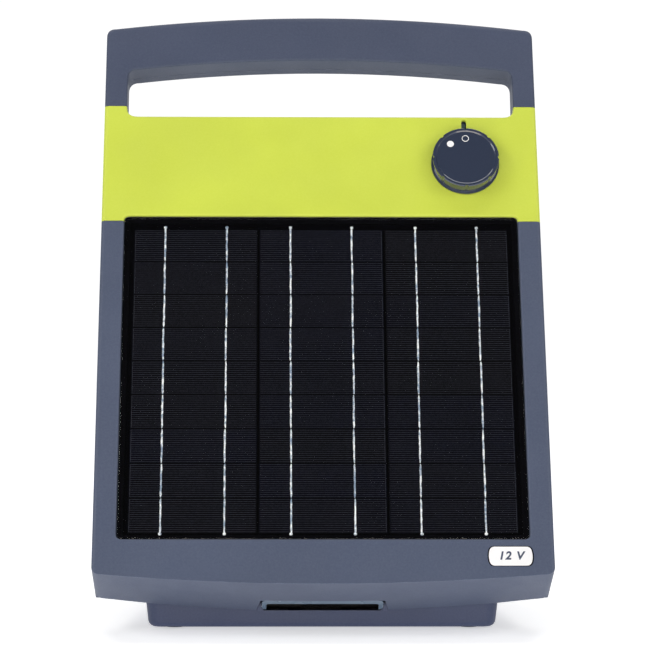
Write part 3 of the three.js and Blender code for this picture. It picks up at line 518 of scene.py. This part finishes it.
# Heights in the face frame and widths, all in millimetres.
CELL_ROWS = 9
CELL_BACK, CELL_FRONT = -4.9, -4.66
PRINT_FRONT = -4.6
RIBBON_FRONT = -4.4
ROW_GAP = 0.5
FINGERS_PER_CELL = 16
FINGER_WIDTH = 0.15
PRINT_INSET = 0.6
END_LINE_WIDTH = 0.2
END_LINE_INSET = 0.5
SOLDER_SINK = 0.02
RIBBON_WIDTH = 1.15
RIBBON_STEPS = 12
RIBBON_TAPER = 0.55
RIBBON_INSET = 0.15
RIBBON_OVERHANG_TOP = 1.7
RIBBON_OVERHANG_FOOT = 0.6
BLOB_RADIUS = 1.0
BLOB_SIDES = 14


def cell_rows(low, high):
    """The lower and upper edge of each cell in a string, from the bottom up."""
    pitch = (high - low) / CELL_ROWS
    return [(low + i * pitch + ROW_GAP / 2, low + (i + 1) * pitch - ROW_GAP / 2) for i in range(CELL_ROWS)]


def cells(side, left, right, rows, chance):
    """The silicon; each cell's `tint` sets how blue it is."""
    tints = [chance.uniform(0.0, 1.0) ** 2 for _ in rows]
    boxes = [(left, right, y0, y1, CELL_BACK, CELL_FRONT) for y0, y1 in rows]
    stand_for(closed_boxes(f"cells_{side}", boxes, MATERIALS["silicon"], tints), f"cell_string_{side}")


def cell_fingers(side, left, right, rows):
    """The printed fingers across each cell, and one line up the cell where they end."""
    start, end = left + PRINT_INSET, right - PRINT_INSET
    line = (start, start + END_LINE_WIDTH) if side == "left" else (end - END_LINE_WIDTH, end)
    lines = []
    for y0, y1 in rows:
        for i in range(FINGERS_PER_CELL):
            y = y0 + (i + 0.5) * (y1 - y0) / FINGERS_PER_CELL
            lines.append((start, end, y, y + FINGER_WIDTH, CELL_FRONT, PRINT_FRONT))
        lines.append((*line, y0 + END_LINE_INSET, y1 - END_LINE_INSET, CELL_FRONT, PRINT_FRONT))
    fingers = closed_boxes(f"cell_fingers_{side}", lines, SILVER_PRINT)
    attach(fingers, BODY_OF[f"cell_string_{side}"])


def ribbon(mesh, x, y0, y1, chance):
    """One tinned ribbon on one cell: a low rounded strip whose edges wander as the solder flowed."""
    base = CELL_FRONT - SOLDER_SINK
    rings = []
    for i in range(RIBBON_STEPS + 1):
        taper = RIBBON_TAPER if i in (0, RIBBON_STEPS) else 1.0
        middle = x + chance.uniform(-0.12, 0.12)
        wide = RIBBON_WIDTH / 2 * taper * chance.uniform(0.78, 1.12)
        top = base + (RIBBON_FRONT - base) * taper * chance.uniform(0.75, 1.0)
        y = y0 + (y1 - y0) * (i / RIBBON_STEPS)
        section = [(-wide, base), (wide, base), (wide * 0.85, (base + top) / 2), (wide * 0.35, top),
                   (-wide * 0.35, top), (-wide * 0.85, (base + top) / 2)]
        rings.append([on_face(middle + dx, y, z) for dx, z in section])
    loft(mesh, rings)


def solder_blob(mesh, x, y):
    """The round drop of solder at the end of a ribbon: a low dome."""
    base = CELL_FRONT - SOLDER_SINK
    tip = mesh.verts.new(on_face(x, y, RIBBON_FRONT + 0.02))
    foot = mesh.verts.new(on_face(x, y, base))
    turns = [math.tau * k / BLOB_SIDES for k in range(BLOB_SIDES)]
    profile = ((BLOB_RADIUS, base), (BLOB_RADIUS, base + 0.1), (BLOB_RADIUS * 0.7, RIBBON_FRONT - 0.04))
    rings = [[mesh.verts.new(on_face(x + radius * math.cos(turn), y + radius * math.sin(turn), z))
              for turn in turns] for radius, z in profile]
    for k in range(BLOB_SIDES):
        n = (k + 1) % BLOB_SIDES
        mesh.faces.new((foot, rings[0][n], rings[0][k]))
        mesh.faces.new((rings[0][k], rings[0][n], rings[1][n], rings[1][k]))
        mesh.faces.new((rings[1][k], rings[1][n], rings[2][n], rings[2][k]))
        mesh.faces.new((rings[2][k], rings[2][n], tip))


def busbars(side, left, right, rows, chance):
    """Two tinned ribbons up the string, with a drop of solder at each end."""
    centre = (left + right) / 2
    mesh = bmesh.new()
    for x in (centre - (right - left) / 4, centre + (right - left) / 4):
        for i, (y0, y1) in enumerate(rows):
            foot = RIBBON_OVERHANG_FOOT if i == 0 else -RIBBON_INSET
            head = RIBBON_OVERHANG_TOP if i == CELL_ROWS - 1 else -RIBBON_INSET
            ribbon(mesh, x + chance.uniform(-0.2, 0.2), y0 - foot, y1 + head, chance)
        for y in (rows[0][0] - RIBBON_OVERHANG_FOOT, rows[-1][1] + RIBBON_OVERHANG_TOP):
            solder_blob(mesh, x, y)
    name = f"busbars_{side}"
    piece = object_from(name, as_data(name, mesh), SOLDER)
    shade(piece, 60)
    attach(piece, BODY_OF[f"cell_string_{side}"])


def solar_panel():
    chance = random.Random(11)
    for side in ("left", "middle", "right"):
        left, right, low, high = face_box(f"cell_string_{side}")
        rows = cell_rows(low, high)
        cells(side, left, right, rows, chance)
        cell_fingers(side, left, right, rows)
        busbars(side, left, right, rows, chance)
    glass = refined("panel_glass", 0.8, 3)
    glass.visible_shadow = False
    refined("panel_seal", 0.2, material=SEAL_AND_SHADOW_BLACK)
    refined("panel_backsheet", 0.2)
    refined("panel_junction_box", 1.2, 3)


# ---------------------------------------------------------------- nodes that only need finer edges


FINE_EDGE = 0.25
EDGES = {
    "front_frame": 0.35, "handle_frame": 0.35, "control_fascia": 0.3, "handle_rear": 0.8, "rear_shell": 0.8,
    "base_cover": 0.6, "rating_plate": 0.25, "latch_bail": 0.9, "control_knob": 0.35,
    "mounting_plate": 0.4, "rotary_switch": 0.5,
}
OWN_BUILD = {"panel_glass", "panel_seal", "panel_backsheet", "panel_junction_box",
             "cell_string_left", "cell_string_middle", "cell_string_right",
             "battery_pad_left", "battery_pad_right", "battery", "charge_regulator",
             "storage_capacitor_left", "storage_capacitor_right"}


def other_nodes():
    for node in sorted(frame["nodes"]):
        if node not in OWN_BUILD:
            refined(node, EDGES.get(node, FINE_EDGE))


# ---------------------------------------------------------------- battery


BATTERY_CORNER = 3 * MM
BATTERY_EDGE = 1.4 * MM
LID_SEAM = 9 * MM
SEAM_HALF = 0.7 * MM
SEAM_DEPTH = 0.6 * MM


def battery():
    """A moulded jar with bevelled edges and the groove where the lid is welded on."""
    low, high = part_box("battery")
    centre, half = (low + high) / 2, (high - low) / 2
    seam = high.z - LID_SEAM
    levels = [(low.z, BATTERY_EDGE), (low.z + BATTERY_EDGE, 0),
              (seam - SEAM_HALF, 0), (seam - SEAM_HALF, SEAM_DEPTH),
              (seam + SEAM_HALF, SEAM_DEPTH), (seam + SEAM_HALF, 0),
              (high.z - BATTERY_EDGE, 0), (high.z, BATTERY_EDGE)]
    rings = []
    for z, inset in levels:
        outline = rounded_outline(half.x - inset, half.y - inset, BATTERY_CORNER)
        rings.append([Vector((centre.x + x, centre.y + y, z)) for x, y in outline])
    lofted("battery", rings)


def battery_pads():
    """Foam pads under the battery, with round edges."""
    for side in ("left", "right"):
        pad = refined(f"battery_pad_{side}", 1.3, 4)


# ---------------------------------------------------------------- electronics


CAN_SIDES = 40
CAN_SHOULDER = 1.2 * MM
CAN_GROOVE = 6 * MM
CAN_GROOVE_HALF = 1.2 * MM
CAN_GROOVE_DEPTH = 0.9 * MM
CAN_RIM, CAN_TOP = 2.2 * MM, 2.6 * MM
CAN_SINK = 0.5 * MM


def capacitor(side):
    """An aluminium can in a sleeve: rolled groove near the foot, chamfered shoulders and a sunk top."""
    node = f"storage_capacitor_{side}"
    low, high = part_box(node)
    centre, radius = (low + high) / 2, (high.x - low.x) / 2
    groove = low.z + CAN_GROOVE
    levels = [(low.z, CAN_SHOULDER), (low.z + CAN_SHOULDER, 0),
              (groove - CAN_GROOVE_HALF, 0), (groove, CAN_GROOVE_DEPTH), (groove + CAN_GROOVE_HALF, 0),
              (high.z - CAN_SHOULDER, 0), (high.z, CAN_SHOULDER),
              (high.z, CAN_RIM), (high.z - CAN_SINK, CAN_TOP)]
    turns = [math.tau * k / CAN_SIDES for k in range(CAN_SIDES)]
    rings = [[Vector((centre.x + (radius - inset) * math.cos(turn),
                      centre.y + (radius - inset) * math.sin(turn), z)) for turn in turns]
             for z, inset in levels]
    lofted(node, rings)


FINS = 9
FIN_BACK = 2.6 * MM


def regulator():
    """A finned heat sink: upright fins standing out from a back plate against the board."""
    low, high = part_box("charge_regulator")
    pitch = (high.x - low.x) / (2 * FINS - 1)
    comb = [(high.x, high.y), (low.x, high.y)]
    for i in range(FINS):
        left = low.x + 2 * i * pitch
        if i:
            comb.append((left, high.y - FIN_BACK))
        comb += [(left, low.y), (left + pitch, low.y)]
        if i < FINS - 1:
            comb.append((left + pitch, high.y - FIN_BACK))
    lofted("charge_regulator", [[Vector((x, y, z)) for x, y in comb] for z in (low.z, high.z)])


# Half width, half height and thickness of each kind of package, in millimetres.
CHIP_SIZES = ((3.2, 2.2, 1.6), (5.0, 2.0, 1.4), (2.0, 1.3, 1.1))
CHIP_CORNER = 0.3
CHIP_TAPER = 0.25
CHIP_MARGIN = 8 * MM
CHIP_REACH_X, CHIP_REACH_Z = 8.5 * MM, 6.5 * MM
CHIP_PITCH_X, CHIP_PITCH_Z = 12 * MM, 8 * MM
CHIP_HEADROOM = 6 * MM
CHIP_TRIES = 150
AROUND_BOARD = ("control_board", "rear_shell", "front_frame")


def clears(x, z, box, front):
    """Whether a package at x, z keeps its distance from a box, or the box ends well before the board."""
    low, high = box
    beside = x + CHIP_REACH_X < low.x or x - CHIP_REACH_X > high.x
    over_or_under = z + CHIP_REACH_Z < low.z or z - CHIP_REACH_Z > high.z
    return beside or over_or_under or high.y < front - CHIP_HEADROOM


def chip_spots(chance):
    """Places on the board that are free of other parts and of each other, with a size for each."""
    low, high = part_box("control_board")
    others = [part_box(node) for node in frame["nodes"] if node not in AROUND_BOARD]
    spots = []
    for _ in range(CHIP_TRIES):
        x = chance.uniform(low.x + CHIP_MARGIN, high.x - CHIP_MARGIN)
        z = chance.uniform(low.z + CHIP_MARGIN, high.z - CHIP_MARGIN)
        free = all(clears(x, z, box, low.y) for box in others)
        if free and all(abs(x - a) > CHIP_PITCH_X or abs(z - b) > CHIP_PITCH_Z for a, b, _ in spots):
            spots.append((x, z, chance.choice(CHIP_SIZES)))
    return spots


def board_chips():
    """Small soldered packages on the free parts of the control board's front."""
    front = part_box("control_board")[0].y
    spots = chip_spots(random.Random(5))

    def build(mesh):
        for x, z, (half_x, half_z, thick) in spots:
            rings = []
            for out, inset in ((0, 0), (thick * 0.8, 0), (thick, CHIP_TAPER)):
                outline = rounded_outline((half_x - inset) * MM, (half_z - inset) * MM, CHIP_CORNER * MM, 2)
                rings.append([Vector((x + dx, front - out * MM, z + dz)) for dx, dz in outline])
            loft(mesh, rings)

    new_piece("control_board", "board_chips", MATERIALS["black_plastic"], build)


# ---------------------------------------------------------------- prints on the rear wall and the plate, and the painted shadow line round the plate


def bar(x0, x1, y0, y1):
    return [(x0, y0), (x1, y0), (x1, y1), (x0, y1)]


# The generic signs, in units of SYMBOL_SIZE millimetres.
BOLT = [(0.6, 5), (-2.2, -0.6), (-0.2, -0.6), (-0.9, -5), (2.2, 0.9), (0.3, 0.9), (1.6, 5)]
EARTH = [bar(-0.35, 0.35, 0.4, 5), bar(-3.6, 3.6, -0.35, 0.35), bar(-2.3, 2.3, -2.15, -1.45),
         bar(-1.0, 1.0, -3.95, -3.25)]
SYMBOL_SIZE = 1.5
SYMBOL_ABOVE_TERMINAL = 22 * MM
SYMBOL_THICK = 0.12


def flat_print(node, name, outlines, place, across, upward):
    """White printed shapes: each outline, in millimetres, becomes a thin plate on the surface."""
    outward = across.cross(upward)

    def build(mesh):
        for outline in outlines:
            loft(mesh, [[place + (across * x + upward * y + outward * z) * MM for x, y in outline]
                        for z in (0, SYMBOL_THICK)])

    new_piece(node, name, MATERIALS["white_print"], build)


def terminal_symbols():
    """A lightning bolt over the fence terminal and the earth sign over the other, on the rear wall."""
    for side, outlines in (("fence", [BOLT]), ("earth", EARTH)):
        low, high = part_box(f"{side}_terminal_bush")
        centre = (low + high) / 2
        place = Vector((centre.x, REAR_WALL, centre.z + SYMBOL_ABOVE_TERMINAL))
        sized = [[(x * SYMBOL_SIZE, y * SYMBOL_SIZE) for x, y in outline] for outline in outlines]
        flat_print("rear_shell", f"{side}_symbol", sized, place, -RIGHT, Vector((0, 0, 1)))


# The painted shadow line round the rating plate: the ring's width, and how far below and above the face it lies,
# in millimetres.
SHADOW_RING_WIDTH = 0.75
SHADOW_RING_BELOW, SHADOW_RING_ABOVE = -0.05, 0.06


def plate_shadow_ring():
    """Painted shade round the white plate: a thin dark ring that follows the plate's outline, standing in for the
    shadow line at its edge.
    """
    points = [Vector((x, y)) for x, y, _ in face_points("rating_plate")]
    inner = [points[i] for i in convex_hull_2d(points)]
    centre = sum(inner, Vector((0, 0))) / len(inner)
    outer = [point + (point - centre).normalized() * SHADOW_RING_WIDTH for point in inner]

    def build(mesh):
        loops = [[mesh.verts.new(on_face(point.x, point.y, z)) for point in line] for line, z in
                 ((inner, SHADOW_RING_BELOW), (outer, SHADOW_RING_BELOW), (outer, SHADOW_RING_ABOVE), (inner, SHADOW_RING_ABOVE))]
        for a, b in zip(loops, loops[1:] + loops[:1]):
            for k in range(len(a)):
                n = (k + 1) % len(a)
                mesh.faces.new((a[k], a[n], b[n], b[k]))

    # The ring is drawn in the seal's black: painted shade, not a real gap.
    new_piece("rating_plate", "plate_shadow_ring", SEAL_AND_SHADOW_BLACK, build)


PLATE_WORDS = "12 V"
PLATE_LETTER_HEIGHT = 5.0 * MM
CAPITAL_SHARE = 0.7             # a capital's height as a share of the font size
PLATE_SLANT = 0.2
PLATE_SPACING = 1.15
PLATE_BOLDNESS = 0.22 * MM
PLATE_RELIEF = 0.05


def plate_letters():
    """The rating in slanted solid letters, centred on the origin, as mesh data."""
    words = bpy.data.curves.new("plate_words", "FONT")
    words.body = PLATE_WORDS
    words.size = PLATE_LETTER_HEIGHT / CAPITAL_SHARE
    words.shear = PLATE_SLANT
    words.extrude = PLATE_RELIEF * MM
    words.offset = PLATE_BOLDNESS
    words.space_character = PLATE_SPACING
    words.align_x = "CENTER"
    words.align_y = "CENTER"
    shape = bpy.data.objects.new("plate_words", words)
    bpy.context.scene.collection.objects.link(shape)
    bpy.context.view_layer.update()
    data = bpy.data.meshes.new_from_object(shape.evaluated_get(bpy.context.evaluated_depsgraph_get()))
    bpy.data.objects.remove(shape)
    return data


def plate_print():
    """The rating on the white plate: a generic voltage."""
    top = max(out for _, _, out in face_points("rating_plate"))
    left, right, low, high = face_box("rating_plate")
    turn = Matrix((RIGHT, UP, OUT)).transposed().to_4x4()
    place = on_face((left + right) / 2, (low + high) / 2, top + PLATE_RELIEF)
    data = plate_letters()
    data.transform(Matrix.Translation(place) @ turn)
    piece = object_from("plate_print", data, MATERIALS["dark_slate_plastic"])
    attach(piece, BODY_OF["rating_plate"])


# ---------------------------------------------------------------- the object


solar_panel()
other_nodes()
battery()
battery_pads()
capacitor("left")
capacitor("right")
regulator()
board_chips()
terminal_symbols()
plate_shadow_ring()
plate_print()


# ---------------------------------------------------------------- floor, light, camera


FLOOR_HALF = 1.5
FLOOR_GLOW = 0.5
FLOOR_DROP = 0.2 * MM


def floor():
    """A white paper sheet just under the feet, with a glow that keeps it near white."""
    mesh = bmesh.new()
    bmesh.ops.create_grid(mesh, x_segments=8, y_segments=8, size=FLOOR_HALF)
    data = as_data("floor", mesh)
    mix = Recipe("floor_paper")
    tone = mix.mixed(mix.noise(3, 2), rgb("f7f7f7"), rgb("fbfbfb"))
    mix.paint(tone, None, mix.bump(mix.noise(400), 0.02 * MM))
    mix.set(Roughness=0.9, Emission_Color=(1, 1, 1, 1), Emission_Strength=FLOOR_GLOW)
    sheet = object_from("floor", data, mix.material)
    sheet.location.z = -FLOOR_DROP


def sky():
    """A light tent: white behind the object, nearly so in front, dim at the sides and dark overhead."""
    world = bpy.data.worlds.new("tent")
    bpy.context.scene.world = world
    world.use_nodes = True
    nodes, links = world.node_tree.nodes, world.node_tree.links
    background = nodes["Background"]
    background.inputs["Color"].default_value = (1, 1, 1, 1)
    parts = nodes.new("ShaderNodeSeparateXYZ")
    links.new(nodes.new("ShaderNodeTexCoord").outputs["Generated"], parts.inputs["Vector"])

    def maths(operation, *inputs):
        node = nodes.new("ShaderNodeMath")
        node.operation = operation
        for socket, value in zip(node.inputs, inputs):
            if isinstance(value, (int, float)):
                socket.default_value = value
            else:
                links.new(value, socket)
        return node.outputs[0]

    def fade(value, start, end, first, last):
        node = nodes.new("ShaderNodeMapRange")
        node.interpolation_type = "SMOOTHSTEP"
        links.new(value, node.inputs["Value"])
        for key, number in zip(("From Min", "From Max", "To Min", "To Max"), (start, end, first, last)):
            node.inputs[key].default_value = number
        return node.outputs["Result"]

    sideways = fade(maths("ABSOLUTE", parts.outputs["X"]), 0.4, 0.85, 1.0, 0.3)
    tent = maths("MULTIPLY", fade(parts.outputs["Z"], 0.35, 0.62, 0.95, 0.05), sideways)
    behind = fade(parts.outputs["Y"], 0.7, 0.93, 0.0, 1.05)
    links.new(maths("MAXIMUM", tent, behind), background.inputs["Strength"])


def softbox(name, position, target, width, height, power, colour=(1, 1, 1)):
    lamp = bpy.data.lights.new(name, "AREA")
    lamp.shape = "RECTANGLE"
    lamp.size = width
    lamp.size_y = height
    lamp.energy = power
    lamp.color = colour
    holder = bpy.data.objects.new(name, lamp)
    bpy.context.scene.collection.objects.link(holder)
    holder.location = position
    holder.visible_transmission = False
    holder.rotation_mode = "QUATERNION"
    holder.rotation_quaternion = (target - position).to_track_quat("-Z", "Y")


def lights():
    centre = (cad_low + cad_high) / 2
    softbox("left_box", centre + Vector((-1.5, -1.0, 1.1)), centre, 1.0, 1.0, 13)
    softbox("right_box", centre + Vector((1.5, -1.0, 1.1)), centre, 1.0, 1.0, 10)
    softbox("top_box", centre + Vector((0, 0.5, 1.8)), centre, 2.2, 1.6, 24)
    softbox("low_fill", centre + Vector((0, -1.1, -0.12)), centre, 1.2, 0.35, 3.8, (1, 0.87, 0.74))


# Camera: looks at the face from below its own square-on line, from almost in front.
VIEW_DISTANCE = 1.783
VIEW_TILT = math.radians(25.7)
VIEW_YAW = math.radians(1.19)
VIEW_ROLL = math.radians(0.43)
VIEW_RIGHT = 0.0017
VIEW_UP = 0.0318
SENSOR = 36.0
LENS = 160.6


def camera():
    inward = RIGHT * math.sin(VIEW_YAW) - OUT * math.cos(VIEW_YAW)
    ahead = inward * math.cos(VIEW_TILT) + UP * math.sin(VIEW_TILT)
    level = RIGHT * math.cos(VIEW_YAW) + OUT * math.sin(VIEW_YAW)
    above = level.cross(ahead)
    turn = Matrix.Rotation(VIEW_ROLL, 3, ahead)
    across, above = turn @ level, turn @ above
    data = bpy.data.cameras.new("camera")
    data.lens = LENS
    data.sensor_width = SENSOR
    data.clip_start = 0.05
    data.clip_end = 50
    holder = bpy.data.objects.new("camera", data)
    bpy.context.scene.collection.objects.link(holder)
    place = FACE - ahead * VIEW_DISTANCE + across * VIEW_RIGHT + above * VIEW_UP
    columns = Matrix((across, above, -ahead)).transposed().to_4x4()
    holder.matrix_world = Matrix.Translation(place) @ columns
    bpy.context.scene.camera = holder


floor()
sky()
lights()
camera()
bpy.context.scene.view_settings.view_transform = "Standard"
